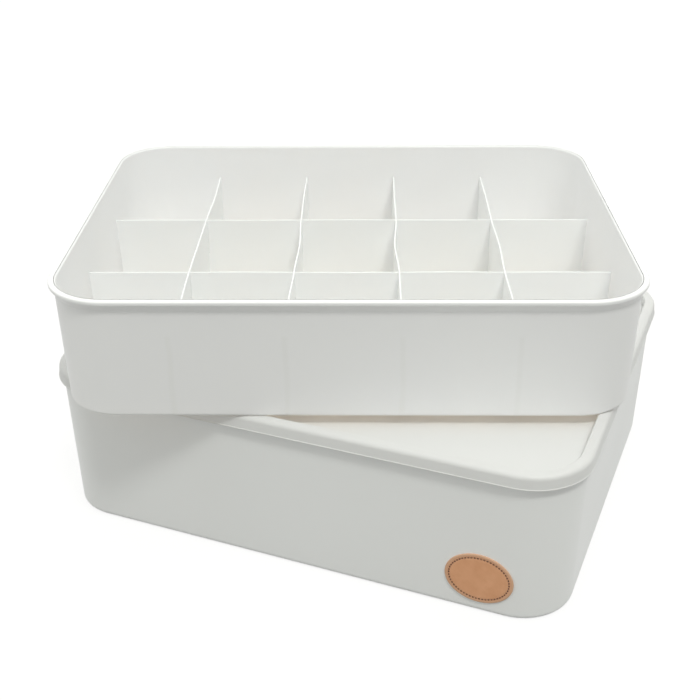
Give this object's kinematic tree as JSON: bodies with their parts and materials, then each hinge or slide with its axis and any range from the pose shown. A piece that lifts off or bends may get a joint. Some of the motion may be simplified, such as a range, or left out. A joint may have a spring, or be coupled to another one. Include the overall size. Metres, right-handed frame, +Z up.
{
  "type": "storage box with lid and divided tray",
  "caption": "Stacking storage set: a deep drafted box with a press-on lid, and a tray with a rolled rim and slotted dividers that stands on the lid, turned a little.",
  "frame": {"origin": "on the floor, under the middle of the storage box and its lid", "axes": "+Z up, +X along the tray's long side towards its right end, +Y from the tray's front to its back; the box and lid stand turned about Z, right end towards the front"},
  "size_m": [0.3824, 0.3454, 0.171],
  "materials": {
    "box_plastic": "finely grained white polypropylene, slightly translucent",
    "lid_plastic": "finely grained white polypropylene",
    "tray_plastic": "finely grained white polypropylene, translucent where thin",
    "divider_plastic": "smooth thin white polypropylene sheet",
    "label_leather": "tan grained leather with a stitched edge"
  },
  "bodies": {
    "storage_box": {"storage_box": "box_plastic", "label_disc": "label_leather"},
    "lid": {"lid": "lid_plastic"},
    "tray": {"tray_shell": "tray_plastic"},
    "divider_grid": {"long_divider_1": "divider_plastic", "long_divider_2": "divider_plastic"},
    "cross_divider_1": {"cross_divider_1": "divider_plastic"},
    "cross_divider_2": {"cross_divider_2": "divider_plastic"},
    "cross_divider_3": {"cross_divider_3": "divider_plastic"},
    "cross_divider_4": {"cross_divider_4": "divider_plastic"}
  },
  "joints": [
    {"name": "lid_lift", "type": "slide", "parent": "storage_box", "child": "lid", "axis": [0, 0, 1], "range_m": [0, 0.06]},
    {"name": "tray_lift", "type": "slide", "parent": "lid", "child": "tray", "axis": [0, 0, 1], "range_m": [0, 0.08]},
    {"name": "divider_grid_lift", "type": "slide", "parent": "tray", "child": "divider_grid", "axis": [0, 0, 1], "range_m": [0, 0.08]},
    {"name": "cross_divider_1_lift", "type": "slide", "parent": "divider_grid", "child": "cross_divider_1", "axis": [0, 0, 1], "range_m": [0, 0.06]},
    {"name": "cross_divider_2_lift", "type": "slide", "parent": "divider_grid", "child": "cross_divider_2", "axis": [0, 0, 1], "range_m": [0, 0.06]},
    {"name": "cross_divider_3_lift", "type": "slide", "parent": "divider_grid", "child": "cross_divider_3", "axis": [0, 0, 1], "range_m": [0, 0.06]},
    {"name": "cross_divider_4_lift", "type": "slide", "parent": "divider_grid", "child": "cross_divider_4", "axis": [0, 0, 1], "range_m": [0, 0.06]}
  ]
}
